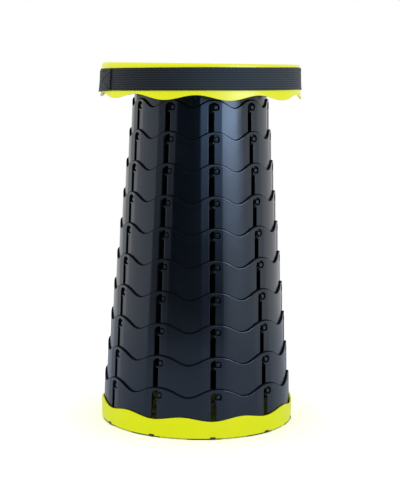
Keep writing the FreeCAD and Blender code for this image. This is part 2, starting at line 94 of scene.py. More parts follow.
def add_node(tree, kind, settings=None, values=None, links=None):
    """Adds a node, sets its properties and input values, and links inputs to other nodes' outputs."""
    node = tree.nodes.new(kind)
    for name, value in (settings or {}).items():
        setattr(node, name, value)
    for socket, value in (values or {}).items():
        node.inputs[socket].default_value = value
    for socket, (source, output) in (links or {}).items():
        tree.links.new(source.outputs[output], node.inputs[socket])
    return node


def new_material(name):
    """A new material, as (material, node tree, shader, Object coordinates)."""
    material = bpy.data.materials.new(name)
    material.use_nodes = True
    tree = material.node_tree
    shader = next(n for n in tree.nodes if n.type == "BSDF_PRINCIPLED")
    return material, tree, shader, add_node(tree, "ShaderNodeTexCoord")


def noise(tree, coords, output, size_mm, detail):
    """A noise texture whose features have a real size."""
    return add_node(tree, "ShaderNodeTexNoise", values={"Scale": 1 / (size_mm * MM), "Detail": detail},
                    links={"Vector": (coords, output)})


def bump(tree, height, depth_mm, strength=1.0, under=None):
    """Relief of a real depth, on top of another bump if one is given."""
    links = {"Height": (height, "Fac")}
    if under:
        links["Normal"] = (under, "Normal")
    values = {"Strength": strength, "Distance": depth_mm * MM}
    return add_node(tree, "ShaderNodeBump", values=values, links=links)


print("middle grey on a screen, in linear light:", round(linear("#808080")[0], 3))

# %% [markdown]
# The rings are injection-moulded polypropylene, coloured in the mass with a blue-black pigment. The mould
# is finely eroded, so the surface is satin: it mirrors a lamp as a soft, bluish stripe, and a close look
# shows a fine grain. Wide, faint sink marks make the stripe waver. The mould's core is rougher, so the
# inner side of a wall is matt. That matt finish is also darker, and it paints shade on the wave's top,
# the slots' walls and feet and round each peg, where the gaps between rings are in shade. One function
# makes every moulded finish, because they differ only in colour, gloss and grain.

# %% Ring plastic
CLOUD_MM, SINK_MM = 60, 22
PLASTIC_IOR = 1.49


def moulded_plastic(name, colour, darker, rough, grain, sink, gloss=0.5, mirror_tint=(1.0, 1.0, 1.0)):
    """Moulded plastic: slight clouding, an eroded grain of (size, depth) and sink marks of a depth, in mm."""
    material, tree, shader, coords = new_material(name)
    cloud = noise(tree, coords, "Object", CLOUD_MM, 3.0)
    clouded = add_node(tree, "ShaderNodeMix", {"data_type": "RGBA"},
                       {"A": linear(darker), "B": linear(colour)}, {"Factor": (cloud, "Fac")})
    tree.links.new(clouded.outputs["Result"], shader.inputs["Base Color"])
    uneven = add_node(tree, "ShaderNodeMapRange",
                      values={"From Min": 0.3, "From Max": 0.7, "To Min": rough[0], "To Max": rough[1]},
                      links={"Value": (cloud, "Fac")})
    tree.links.new(uneven.outputs["Result"], shader.inputs["Roughness"])
    grain_size, grain_depth = grain
    sunk = bump(tree, noise(tree, coords, "Object", SINK_MM, 1.0), sink)
    grained = bump(tree, noise(tree, coords, "Object", grain_size, 2.0), grain_depth, under=sunk)
    tree.links.new(grained.outputs["Normal"], shader.inputs["Normal"])
    shader.inputs["IOR"].default_value = PLASTIC_IOR
    shader.inputs["Specular IOR Level"].default_value = gloss
    shader.inputs["Specular Tint"].default_value = (*mirror_tint, 1.0)
    return material


ring_plastic = moulded_plastic("black_polypropylene", "#060A11", "#04070C", rough=(0.22, 0.29),
                               grain=(0.9, 0.006), sink=0.06, gloss=0.62, mirror_tint=(0.68, 0.80, 1.0))
# Matt core side. Its darker colour is painted shade on crests, slot walls and feet, and peg roots.
ring_core_side_painted_shade = moulded_plastic("black_polypropylene_core_side_painted_shade", "#05070A", "#030506", rough=(0.70, 0.85),
                              grain=(0.6, 0.02), sink=0.02, gloss=0.06)
print("ring finishes:", ring_plastic.name, "and", ring_core_side_painted_shade.name)

# %% [markdown]
# The seat and the base are the same kind of plastic in a fluorescent yellow-green. It throws back nearly
# all the yellow and green in the light and little of the blue, so its colour lies near the brightest
# that a surface can have. The tray's inside is matt, and its colour is painted darker as painted shade,
# because little light comes down between the rings to the parts of it that show through the slots.

# %% Seat and base plastic
seat_plastic = moulded_plastic("fluorescent_yellow_polypropylene", "#EEF214", "#E9EE10",
                               rough=(0.28, 0.36), grain=(0.9, 0.008), sink=0.05, gloss=0.3)
base_plastic = moulded_plastic("yellow_green_polypropylene", "#F5FB0A", "#F1F608",
                               rough=(0.34, 0.42), grain=(0.9, 0.010), sink=0.05, gloss=0.2)
# The tray's inside: matt, with a darker colour that is painted shade.
tray_core_side_painted_shade = moulded_plastic("yellow_green_polypropylene_core_side_painted_shade", "#8A9006", "#7C8204",
                              rough=(0.70, 0.85), grain=(0.6, 0.02), sink=0.02)
print("seat and base finishes:", seat_plastic.name, base_plastic.name, tray_core_side_painted_shade.name)

# %% [markdown]
# The foot pads are soft thermoplastic rubber, nearly black and matt, so the moulded finish serves. The
# screws are zinc-plated steel: a bright metal whose gloss wanders a little over a few millimetres.

# %% Pad rubber and screw steel
pad_rubber = moulded_plastic("thermoplastic_rubber", "#23251F", "#1B1D19",
                             rough=(0.60, 0.75), grain=(0.7, 0.02), sink=0.02)


def wandering_gloss(tree, shader, coords, size_mm, detail, rough):
    """Roughness that wanders between two values over a real size."""
    spread = add_node(tree, "ShaderNodeMapRange", values={"To Min": rough[0], "To Max": rough[1]},
                      links={"Value": (noise(tree, coords, "Object", size_mm, detail), "Fac")})
    tree.links.new(spread.outputs["Result"], shader.inputs["Roughness"])


screw_steel, steel_tree, steel_shader, steel_coords = new_material("zinc_plated_steel")
wandering_gloss(steel_tree, steel_shader, steel_coords, 2.0, 4.0, (0.22, 0.42))
steel_shader.inputs["Metallic"].default_value = 1.0
steel_shader.inputs["Base Color"].default_value = linear("#C4C6C4")
print("small parts' finishes:", pad_rubber.name, "and", screw_steel.name)

# %% [markdown]
# The strap is woven polypropylene webbing, dark blue-grey. Its warp threads show as ten ribs along it.
# The ribs are in the mesh, and the grooves between them are painted darker and duller, as painted shade
# for their seeing less of the room. The weave across them is bump from the strap's own UV map, which is in
# metres, so it follows the folds. The real weft is about 0.5 mm, and it is drawn at 0.9 mm so that it shows.

# %% Webbing and thread
STRAP_WIDE = 27.2
WEFT_MM, FUZZ_MM = 0.9, 0.8
RIBS = 10
WAVES_PER_METRE = 20 / math.tau
strap_webbing, web_tree, web_shader, _ = new_material("polypropylene_webbing")
web_uv = add_node(web_tree, "ShaderNodeUVMap", {"uv_map": "along_across"})
weft = add_node(web_tree, "ShaderNodeTexWave", {"bands_direction": "X", "wave_profile": "SIN"},
                {"Scale": 1 / (WEFT_MM * MM) / WAVES_PER_METRE, "Distortion": 0.6, "Detail": 1.0,
                 "Detail Scale": 2.0},
                {"Vector": (web_uv, "UV")})
ribs = add_node(web_tree, "ShaderNodeTexWave", {"bands_direction": "Y", "wave_profile": "SIN"},
                {"Scale": RIBS / (STRAP_WIDE * MM) / WAVES_PER_METRE, "Phase Offset": -math.pi / 2},
                {"Vector": (web_uv, "UV")})
fuzz = noise(web_tree, web_uv, "UV", FUZZ_MM, 3.0)
yarn = add_node(web_tree, "ShaderNodeMix", {"data_type": "RGBA"},
                {"A": linear("#090D13"), "B": linear("#11171F")}, {"Factor": (fuzz, "Fac")})
# Painted shade: the grooves between the ribs get a darker colour and less gloss.
groove_dark = add_node(web_tree, "ShaderNodeMapRange", values={"To Min": 0.35, "To Max": 1.2},
                       links={"Value": (ribs, "Fac")})
web_colour = add_node(web_tree, "ShaderNodeVectorMath", {"operation": "SCALE"},
                      links={0: (yarn, "Result"), "Scale": (groove_dark, "Result")})
groove_dull = add_node(web_tree, "ShaderNodeMapRange", values={"To Min": 0.24, "To Max": 0.60},
                       links={"Value": (ribs, "Fac")})
weave = bump(web_tree, fuzz, 0.08, 0.6, bump(web_tree, weft, 0.12))
web_tree.links.new(web_colour.outputs["Vector"], web_shader.inputs["Base Color"])
web_tree.links.new(groove_dull.outputs["Result"], web_shader.inputs["Specular IOR Level"])
web_tree.links.new(weave.outputs["Normal"], web_shader.inputs["Normal"])
for socket, value in (("Roughness", 0.66), ("Specular Tint", (0.76, 0.90, 1.0, 1.0)),
                      ("Sheen Weight", 0.05), ("Sheen Roughness", 0.4)):
    web_shader.inputs[socket].default_value = value

sewing_thread, thread_tree, thread_shader, thread_coords = new_material("polyester_sewing_thread")
wandering_gloss(thread_tree, thread_shader, thread_coords, 0.6, 2.0, (0.4, 0.6))
thread_shader.inputs["Base Color"].default_value = linear("#0C0D12")
print("webbing: a rib every", round(STRAP_WIDE / RIBS, 2), "mm and a weft every", WEFT_MM, "mm")

# %% [markdown]
# The stages' sizes are the CAD's, in millimetres. A ring loses 0.89 mm of radius over each stage's travel.
# Angles go from the middle of the front, to the right as the camera sees it. In the photograph each
# locked stage stands turned a hair further than the one above, as play in the pockets allows.

# %% Sizes of the stages
RINGS = 10
REPEATS = 10
TRAVEL = 38.5
FLOOR_TOP = 4.5
RING_HIGH = 57.0
RING_RADIUS = 118.8
WALL = 2.2
SLIDE_GAP = 0.4
TAPER = 0.89
SLOPE = TAPER / TRAVEL
RADIUS_STEP = WALL + SLIDE_GAP + TAPER
SLOT_PHASE = math.radians(9.5)
STAGE_DRIFT, DRIFT_MIDDLE = math.radians(0.16), 6.5
SECTOR = math.tau / REPEATS


def stage_bottom(stage):
    """Height of a stage's lower edge, where stage 10 is the largest ring and stage 0 is the collar."""
    return FLOOR_TOP + TRAVEL * (RINGS - stage)


def stage_radius(stage):
    """Outer radius of a stage at its lower edge."""
    return RING_RADIUS - RADIUS_STEP * (RINGS - stage)


def stage_turn(stage):
    """Angle of a stage's first slot."""
    return SLOT_PHASE + STAGE_DRIFT * (stage - DRIFT_MIDDLE)


print("radius of the largest ring and of the collar, mm:", stage_radius(RINGS), round(stage_radius(0), 2))

# %% [markdown]
# Every piece is built as a bmesh in millimetres. One function turns it into a mesh in metres that rides
# on its CAD body. Edges steeper than 35 degrees stay sharp, and weighted normals keep a flat wall flat
# beside a small rounded edge, where plain smooth shading would bend its reflections.

# %% Finishing helpers
SLACK, WELD = 0.01, 1e-4


def new_object(name, data):
    """An object at the origin, linked to the scene."""
    made = bpy.data.objects.new(name, data)
    bpy.context.scene.collection.objects.link(made)
    return made


def to_piece(bm, name, materials):
    """Turns a bmesh into an object with its materials."""
    mesh = bpy.data.meshes.new(name)
    bm.to_mesh(mesh)
    bm.free()
    for material in materials:
        mesh.materials.append(material)
    return new_object(name, mesh)


def finish_mesh(bm, name, material, body, replaced=(), sharp=35.0, inside=None):
    """Turns a bmesh in millimetres into a piece that rides on a CAD body. A second finish, inside, is the
    matt, darker one that serves as painted shade.
    """
    bmesh.ops.scale(bm, vec=(MM, MM, MM), verts=bm.verts)
    for face in bm.faces:
        face.smooth = True
    for edge in bm.edges:
        if len(edge.link_faces) == 2 and edge.calc_face_angle(0) > math.radians(sharp):
            edge.smooth = False
    open_edges = sum(1 for e in bm.edges if len(e.link_faces) != 2)
    piece = to_piece(bm, name, [material, inside] if inside else [material])
    weighted = piece.modifiers.new("flats_stay_flat", "WEIGHTED_NORMAL")
    weighted.keep_sharp = True
    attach(piece, body)
    if replaced:
        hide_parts(*replaced)
    print(name, "has", len(piece.data.polygons), "faces and", open_edges, "open edges")
    return piece


def near(a, b, by=1e-3):
    """True if two numbers are as good as equal."""
    return abs(a - b) < by


def added(bm, start):
    """The points that a mesh has gained since the set start."""
    return [v for v in bm.verts if v not in start]


def bevel(bm, edges, size, segments=2):
    """Rounds edges by size."""
    bmesh.ops.bevel(bm, geom=edges, offset=size, offset_type="OFFSET", segments=segments, profile=0.5,
                    affect="EDGES", clamp_overlap=True, loop_slide=True, material=-1)


def round_corners(bm, corners, size, segments=4):
    """Rounds corners of a flat outline by size."""
    bmesh.ops.bevel(bm, geom=corners, offset=size, offset_type="OFFSET", segments=segments, profile=0.5,
                    affect="VERTICES", clamp_overlap=True, material=-1)


def cut(bm, point, normal):
    """Cuts a loop where a plane meets the mesh."""
    bmesh.ops.bisect_plane(bm, geom=bm.verts[:] + bm.edges[:] + bm.faces[:], dist=1e-5,
                           plane_co=point, plane_no=normal)


def extrude(bm, faces, depth, keep=False):
    """Extrudes faces along y. The first faces stay, as the other side of a wall, only if keep is true."""
    made = bmesh.ops.extrude_face_region(bm, geom=faces, use_keep_orig=keep)
    moved = [v for v in made["geom"] if isinstance(v, bmesh.types.BMVert)]
    bmesh.ops.translate(bm, vec=(0, depth, 0), verts=moved)
    if not keep:
        bmesh.ops.delete(bm, geom=[f for f in faces if f.is_valid], context="FACES_ONLY")


def cylinder(bm, radius, depth, sides, place=Matrix.Identity(4)):
    """A capped cylinder about its place's z axis. Returns its points."""
    made = bmesh.ops.create_cone(bm, cap_ends=True, cap_tris=False, segments=sides, radius1=radius,
                                 radius2=radius, depth=depth, matrix=place)
    return made["verts"]


def spin(bm, parts, angle, steps, duplicate=False, merge=False):
    """Sweeps or repeats parts of a mesh about the z axis."""
    bmesh.ops.spin(bm, geom=parts, cent=(0, 0, 0), axis=(0, 0, 1), dvec=(0, 0, 0), angle=angle,
                   steps=steps, use_duplicate=duplicate, use_merge=merge)


def spin_section(bm, section, steps, closed=False):
    """Spins a section of (radius, height) corners once round the z axis."""
    corners = [bm.verts.new((r, 0, z)) for r, z in section]
    ends = corners[1:] + corners[:1] if closed else corners[1:]
    edges = [bm.edges.new(pair) for pair in zip(corners, ends)]
    spin(bm, corners + edges, math.tau, steps, merge=True)


def place_at(turn, radius, high, aside=0):
    """A place at an angle from the front, a radius and a height, as a matrix whose -y looks outwards."""
    return Matrix.Rotation(turn, 4, "Z") @ Matrix.Translation((aside, -radius, high))


# %% [markdown]
# A ring repeats ten times round: a slot, a pocket beside its upper end for a peg of the next smaller
# ring, and one wave of the upper edge. So one tenth is drawn flat as an outline from the middle of one
# slot to the middle of the next, and the slot and pocket are part of that outline. Bending a flat
# plate keeps every wall straight, where cutting slots from a finished cone would leave ragged edges.

# %% Outline of one tenth of a ring
SLOT_HALF, SLOT_FOOT = 3.4, 4.2
PEG_OFFSET, PEG_RADIUS, PEG_ROW = 6.3, 2.55, 7.4
POCKET_RIGHT, LEDGE = 10.1, 42.2
HOOK_LEFT, HOOK_LOW = 1.0, 40.4
FOOT_CORNER, HOOK_CORNER, HOOK_TIP, LEDGE_CORNER = 1.0, 0.5, 0.7, 2.9
ARCH_LOW, ARCH_HIGH = 46.6, 5.2
ARCH_MIDDLE, ARCH_HALF = (POCKET_RIGHT - SLOT_HALF) / 2, (POCKET_RIGHT + SLOT_HALF) / 2
WAVE, WAVE_SHARP = 10.0, 0.12
WAVE_LEAD = math.radians(2.7) / SECTOR * math.tau
COLUMNS, ARCH_LEFT_STEPS, ARCH_RIGHT_STEPS = 24, 4, 8


def wave_height(share):
    """Height of a ring's upper edge at a share of a sector, with flatter crests and sharper troughs."""
    turn = math.tau * share - WAVE_LEAD
    return RING_HIGH - WAVE / 2 * (1 + WAVE_SHARP - math.cos(turn) + WAVE_SHARP * math.cos(2 * turn))


def arch(turn, foot_x):
    """A point on the arch over a slot and its pocket."""
    return foot_x + ARCH_MIDDLE + ARCH_HALF * math.cos(turn), ARCH_LOW + ARCH_HIGH * math.sin(turn)


def sector_outline(width):
    """Corners of one tenth of a ring laid flat, and the sizes that its named corners are rounded by."""
    seam_turn = math.acos(-ARCH_MIDDLE / ARCH_HALF)
    points = [(0, 0, 0), (width, 0, 0), (width, SLOT_FOOT, 0), (width - SLOT_HALF, SLOT_FOOT, FOOT_CORNER)]
    for i in range(ARCH_LEFT_STEPS + 1):
        turn = math.pi - (math.pi - seam_turn) * i / ARCH_LEFT_STEPS
        points.append((*arch(turn, width), 0))
    for i in range(COLUMNS + 1):
        share = 1 - i / COLUMNS
        points.append((share * width, wave_height(share), 0))
    for i in range(ARCH_RIGHT_STEPS + 1):
        points.append((*arch(seam_turn * (1 - i / ARCH_RIGHT_STEPS), 0), 0))
    points += [(POCKET_RIGHT, LEDGE, LEDGE_CORNER), (HOOK_LEFT, LEDGE, HOOK_TIP),
               (HOOK_LEFT, HOOK_LOW, HOOK_TIP), (SLOT_HALF, HOOK_LOW, HOOK_CORNER),
               (SLOT_HALF, SLOT_FOOT, FOOT_CORNER), (0, SLOT_FOOT, 0)]
    return points


edge_heights = [wave_height(i / COLUMNS) for i in range(COLUMNS)]
print("upper edge of a ring, mm:", round(min(edge_heights), 1), "to", round(max(edge_heights), 1))

# %% [markdown]
# The flat tenth gets its wall by extrusion. Its outer edges are rounded by 0.45 mm, as a mould leaves
# them, and the wavy upper edge by 1.7 mm, so each edge draws a line of light. The top of that rounding is
# given the matt, darker finish as painted shade, the dark line of the gap between rings. On the
# inside, a groove under the pocket lets the peg slide down when the stool folds.

# %% Plate of one tenth
EDGE_ROUND = 0.45
CREST_ROUND, CREST_STEPS = 1.7, 5
GROOVE_LEVEL, GROOVE_RIGHT = 0.6, 9.6


def sector_plate(width):
    """One tenth of a ring laid flat: x along the ring, y into the wall, z up."""
    bm = bmesh.new()
    rows = sector_outline(width)
    corners = [bm.verts.new((x, 0, z)) for x, z, size in rows]
    bm.faces.new(corners)
    for corner, (x, z, size) in zip(corners, rows):
        if size:
            round_corners(bm, [corner], size)
    extrude(bm, bm.faces[:], WALL, keep=True)
    bmesh.ops.recalc_face_normals(bm, faces=bm.faces)
    outer, crest, upper = [], [], []
    for edge in bm.edges:
        a, b = (v.co for v in edge.verts)
        on_seam = any(near(a.x, s) and near(b.x, s) for s in (0, width))
        if on_seam:
            continue
        on_crest = all(near(p.z, wave_height(p.x / width)) for p in (a, b))
        if near(a.y, 0) and near(b.y, 0):
            (crest if on_crest else outer).append(edge)
        elif near(a.y, WALL) and near(b.y, WALL) and on_crest:
            upper.append(edge)
    bevel(bm, outer, EDGE_ROUND)
    bevel(bm, [e for e in crest if e.is_valid], CREST_ROUND, CREST_STEPS)
    bevel(bm, [e for e in upper if e.is_valid], EDGE_ROUND)
    return bm


def cut_groove(bm):
    """The relief behind the wall that a peg slides down in. It is open towards the slot beside it."""
    cut(bm, (0, GROOVE_LEVEL, 0), (0, 1, 0))
    cut(bm, (GROOVE_RIGHT, 0, 0), (1, 0, 0))
    cut(bm, (SLOT_HALF, 0, 0), (1, 0, 0))
    cut(bm, (0, 0, SLOT_FOOT), (0, 0, 1))
    inner = [f for f in bm.faces
             if all(near(v.co.y, WALL) and SLOT_HALF - SLACK < v.co.x < GROOVE_RIGHT + SLACK
                    and SLOT_FOOT - SLACK < v.co.z < ARCH_LOW for v in f.verts)]
    extrude(bm, inner, GROOVE_LEVEL - WALL)
    bmesh.ops.remove_doubles(bm, verts=bm.verts, dist=WELD)
    shared = []
    for face in bm.faces:
        x, y, z = face.calc_center_median()
        within = (SLOT_HALF - SLACK < x < GROOVE_RIGHT - 2 * SLACK and GROOVE_LEVEL + SLACK < y < WALL - SLACK
                  and SLOT_FOOT + SLACK < z < ARCH_LOW)
        beside_slot = SLOT_FOOT + FOOT_CORNER < z < HOOK_LOW - HOOK_CORNER
        if within and (beside_slot or not near(x, SLOT_HALF)):
            shared.append(face)
    bmesh.ops.delete(bm, geom=shared, context="FACES")


print("outer edges rounded by", EDGE_ROUND, "mm and the upper edge by", CREST_ROUND, "mm")

# %% [markdown]
# Beside each slot the wall is flat for 13 mm to either side, where the rings guide one another. The
# bend follows a circle between these lands and a chord across them, so a lamp's stripe breaks there.
# The plate is cut into narrow columns first, since only points can follow the bend.

# %% Bend the plate on to the ring
LAND, LAND_SOFT = 13.0, 0.7
ROUND_WELD, SEAM_GAP = 2e-3, 0.15
# Faces of the wave's top that face upwards get the darker finish here: painted shade of the gap between
# rings.
CREST_DARK, CREST_LOW = 0.35, RING_HIGH - 1.3 * WAVE
LEVEL_FACE = 0.6


def ring_radius(stage, angle, height):
    """Outer radius of a stage at an angle from a slot and a height over the stage's lower edge."""
    radius = stage_radius(stage) - SLOPE * height
    off = abs((angle + SECTOR / 2) % SECTOR - SECTOR / 2)
    land = math.asin(LAND / radius)
    return radius if off >= land else radius * math.cos(land) / math.cos(off)


def bend(bm, stage, width, turn):
    """Bends a flat tenth on to the ring: the first slot's middle comes to the angle turn."""
    for vert in bm.verts:
        along, deep, high = vert.co
        angle = along / width * SECTOR
        radius = ring_radius(stage, angle, high) - deep
        vert.co = (radius * math.sin(angle + turn), -radius * math.cos(angle + turn),
                   high + stage_bottom(stage))


def go_round(bm):
    """Repeats the bent tenth round the ring and closes the seams."""
    tenth = bm.verts[:] + bm.edges[:] + bm.faces[:]
    spin(bm, tenth, SECTOR * (REPEATS - 1), REPEATS - 1, duplicate=True)
    bmesh.ops.remove_doubles(bm, verts=bm.verts, dist=ROUND_WELD)
    seam = [v for v in bm.verts if v.is_boundary]
    bmesh.ops.remove_doubles(bm, verts=seam, dist=SEAM_GAP)


def mark_core_side_and_painted_shade(bm):
    """Gives the hidden side, the slots' walls and the wave's top the matt finish of the mould's core. Its
    darker colour there is painted shade.
    """
    for face in bm.faces:
        middle = face.calc_center_median()
        on_crest = face.normal.z > CREST_DARK and middle.z > CREST_LOW
        if on_crest or (middle.y > EDGE_ROUND + SLACK and abs(face.normal.z) < LEVEL_FACE):
            face.material_index = 1


def mark_foot_painted_shade(bm, width, high=SLOT_FOOT, right=SLOT_HALF):
    """The same matt, darker finish, as painted shade, on the foot under each slot, where it shows through the
    next ring's slot.
    """
    for face in bm.faces:
        middle = face.calc_center_median()
        if middle.z < high and (middle.x < right or width - middle.x < SLOT_HALF):
            face.material_index = 1


def drop_seams(bm, width):
    """Deletes the two cut faces where the tenth meets its neighbours."""
    ends = [f for f in bm.faces
            if all(near(v.co.x, 0) for v in f.verts) or all(near(v.co.x, width) for v in f.verts)]
    bmesh.ops.delete(bm, geom=ends, context="FACES")


def column_cuts(bm, width):
    """Cuts the flat plate into columns, closer where a land ends."""
    places = [width * i / COLUMNS for i in range(1, COLUMNS)]
    for edge in (LAND, width - LAND):
        places += [edge - LAND_SOFT, edge + LAND_SOFT]
    for place in places:
        cut(bm, (place, 0, 0), (1, 0, 0))


print("degrees of the largest ring in a land:", round(math.degrees(2 * math.asin(LAND / RING_RADIUS)), 1))

# %% [markdown]
# Ten round pegs stand on the foot of each ring but the largest, and one row stands on the collar.
# Each looks out of the pocket of the ring round it. A short cylinder with a rounded rim makes one. Its
# root is a low collar in the matt, darker finish, painted shade for the dark line of the gap round each
# peg. Both end inside the wall.

# %% Pegs
PEG_SIDES = 24
PEG_REACH, PEG_SINK = 1.6, 0.45
PEG_ROUND, PEG_ROUND_STEPS = 0.45, 3
ROOT_RADIUS, ROOT_REACH = 3.75, 0.12


def add_pegs(bm, stage):
    """Ten pegs round a stage, each square to the land that it stands on."""
    radius = stage_radius(stage) - SLOPE * PEG_ROW
    flat = math.sqrt(radius ** 2 - LAND ** 2)
    out = flat + (PEG_REACH - PEG_SINK) / 2
    for i in range(REPEATS):
        start = set(bm.verts)
        root = cylinder(bm, ROOT_RADIUS, ROOT_REACH + PEG_SINK, PEG_SIDES)
        # The root's faces get the darker finish: painted shade round the peg.
        for face in {f for v in root for f in v.link_faces}:
            face.material_index = 1
        bmesh.ops.translate(bm, vec=(0, 0, (ROOT_REACH - PEG_REACH) / 2), verts=root)
        peg = cylinder(bm, PEG_RADIUS, PEG_REACH + PEG_SINK, PEG_SIDES)
        tip = dict.fromkeys(e for v in peg for e in v.link_edges
                            if all(near(w.co.z, (PEG_REACH + PEG_SINK) / 2) for w in e.verts))
        bevel(bm, list(tip), PEG_ROUND, PEG_ROUND_STEPS)
        place = place_at(stage_turn(stage) + SECTOR * i, out, stage_bottom(stage) + PEG_ROW, PEG_OFFSET)
        upright = Matrix.Rotation(math.radians(90), 4, "X")
        bmesh.ops.transform(bm, matrix=place @ upright, verts=added(bm, start))


print("a peg is", 2 * PEG_RADIUS, "mm across and reaches out by", PEG_REACH, "mm")

# %% [markdown]
# All ten rings come from the same steps, with their own radius, height and turn, as their moulds come
# from one drawing. The largest ring stands in the base.

# %% Build the rings
for stage in range(1, RINGS + 1):
    width = SECTOR * (stage_radius(stage) - SLOPE * RING_HIGH / 2)
    bm = sector_plate(width)
    cut_groove(bm)
    mark_core_side_and_painted_shade(bm)
    drop_seams(bm, width)
    column_cuts(bm, width)
    mark_foot_painted_shade(bm, width)
    bend(bm, stage, width, stage_turn(stage))
    go_round(bm)
    if stage < RINGS:
        add_pegs(bm, stage)
    node = "ring_%02d" % stage
    body = "stage_%02d" % stage if stage < RINGS else "base"
    finish_mesh(bm, "slotted_" + node, ring_plastic, body, [node], inside=ring_core_side_painted_shade)

# %% [markdown]
# Under the seat a collar of the same plastic carries the first row of pegs. It has no slots, so its
# flat tenth is a plain strip, bent like the rings, with a flange turned inwards for the screws. Its foot
# has the matt, darker finish as painted shade, where it shows dark behind the first ring's slots.

# %% Collar
COLLAR_HIGH, COLLAR_PAINTED_SHADE = 57.5, 16.0
FLANGE_WIDE, FLANGE_THICK = 16.0, 2.5
collar_width = SECTOR * (stage_radius(0) - SLOPE * COLLAR_HIGH / 2)
flange_low = COLLAR_HIGH - FLANGE_THICK
bm = bmesh.new()
strip = [bm.verts.new(p) for p in ((0, 0, 0), (collar_width, 0, 0), (collar_width, 0, COLLAR_HIGH),
                                   (0, 0, COLLAR_HIGH))]
bm.faces.new(strip)
extrude(bm, bm.faces[:], WALL, keep=True)
bmesh.ops.recalc_face_normals(bm, faces=bm.faces)
bevel(bm, [e for e in bm.edges if all(near(v.co.z, 0) and near(v.co.y, 0) for v in e.verts)], EDGE_ROUND)
cut(bm, (0, 0, flange_low), (0, 0, 1))
lip = [f for f in bm.faces if all(near(v.co.y, WALL) and v.co.z > flange_low - SLACK for v in f.verts)]
extrude(bm, lip, FLANGE_WIDE - WALL)
drop_seams(bm, collar_width)
column_cuts(bm, collar_width)
# The collar's foot gets the darker finish up to this height: painted shade.
cut(bm, (0, 0, COLLAR_PAINTED_SHADE), (0, 0, 1))
mark_foot_painted_shade(bm, collar_width, COLLAR_PAINTED_SHADE, POCKET_RIGHT + 1)
bend(bm, 0, collar_width, stage_turn(0))
go_round(bm)
add_pegs(bm, 0)
finish_mesh(bm, "collar_under_seat", ring_plastic, "seat", ["seat_collar"],
            inside=ring_core_side_painted_shade)

# %% [markdown]
# The seat is a lid: a plate with a rounded shoulder and a skirt whose lower edge waves. The shallow
# grooves on top are a guess. The section is spun round the axis, and then the lower edge is moved up
# by the wave. The skirt flares a little, which is done last, so that lugs and strap follow it.

# %% Seat sizes and the spun section
SEAT_TOP = 450.0
SEAT_RADIUS = 125.0
SEAT_PLATE = 3.0
SEAT_ROUND = 3.0
SKIRT_WALL = 2.4
SKIRT_DEPTH = 43.4
SKIRT_WAVE = 6.2
SKIRT_LEAD = math.radians(6.2)
SKIRT_TUCK, SKIRT_FLARE = 0.4, 2.6
SKIRT_ROWS = [440.0, 434.0, 428.0, 423.0, 418.0, 413.0]
LIP_ROUND = 0.6
GROOVES = (62.0, 66.0, 70.0, 104.0, 108.0, 112.0)
GROOVE_HALF, GROOVE_FLOOR, GROOVE_DEEP = 0.8, 0.4, 0.5
FLARE_FROM = 110
SPIN_STEPS = 200


def flare(bm):
    """Widens the skirt, and whatever lies against it, towards its lower edge."""
    for vert in bm.verts:
        out = math.hypot(vert.co.x, vert.co.y)
        if out > FLARE_FROM:
            share = max(0, (SEAT_TOP - vert.co.z) / SKIRT_DEPTH)
            grown = 1 + (SKIRT_FLARE * share ** 3 - SKIRT_TUCK) / out
            vert.co.x, vert.co.y = vert.co.x * grown, vert.co.y * grown


def spun(section):
    """A new mesh from a closed section that begins and ends on the axis."""
    bm = bmesh.new()
    spin_section(bm, section, SPIN_STEPS)
    bmesh.ops.remove_doubles(bm, verts=bm.verts, dist=WELD)
    bmesh.ops.recalc_face_normals(bm, faces=bm.faces)
    return bm


def quarter(centre_r, centre_z, size, start, steps=4):
    """Points of a quarter round in a section, from the angle start on clockwise."""
    return [(centre_r + size * math.cos(math.radians(start - 90 * i / steps)),
             centre_z + size * math.sin(math.radians(start - 90 * i / steps))) for i in range(steps + 1)]


skirt_low = SEAT_TOP - SKIRT_DEPTH
groove_section = []
for groove in GROOVES:
    groove_section += [(groove - GROOVE_HALF, SEAT_TOP), (groove - GROOVE_FLOOR, SEAT_TOP - GROOVE_DEEP),
                       (groove + GROOVE_FLOOR, SEAT_TOP - GROOVE_DEEP), (groove + GROOVE_HALF, SEAT_TOP)]
seat_section = (
    [(0, SEAT_TOP)] + groove_section
    + quarter(SEAT_RADIUS - SEAT_ROUND, SEAT_TOP - SEAT_ROUND, SEAT_ROUND, 90, 6)
    + [(SEAT_RADIUS, high) for high in SKIRT_ROWS]
    + quarter(SEAT_RADIUS - LIP_ROUND, skirt_low + LIP_ROUND, LIP_ROUND, 0)
    + quarter(SEAT_RADIUS - SKIRT_WALL + LIP_ROUND, skirt_low + LIP_ROUND, LIP_ROUND, 270)
    + [(SEAT_RADIUS - SKIRT_WALL, high) for high in reversed(SKIRT_ROWS)]
    + [(SEAT_RADIUS - SKIRT_WALL, SEAT_TOP - SEAT_PLATE), (0, SEAT_TOP - SEAT_PLATE)]
)
bm = spun(seat_section)
wave_from = SKIRT_ROWS[-2]
for vert in bm.verts:
    share = min(1, max(0, (wave_from - vert.co.z) / (wave_from - skirt_low - LIP_ROUND)))
    angle = math.atan2(vert.co.x, -vert.co.y) - SLOT_PHASE - SKIRT_LEAD
    vert.co.z += share * SKIRT_WAVE / 2 * (1 - math.cos(angle * REPEATS))
print("the seat's section has", len(seat_section), "corners, and its edge waves by", SKIRT_WAVE, "mm")


# %% [markdown]
# Under the plate ten radial ribs meet a small ring in the middle, and five bosses take the screws. They
# can't be seen, but a thin plate that carries a person needs them. Blocks and tubes do for both.

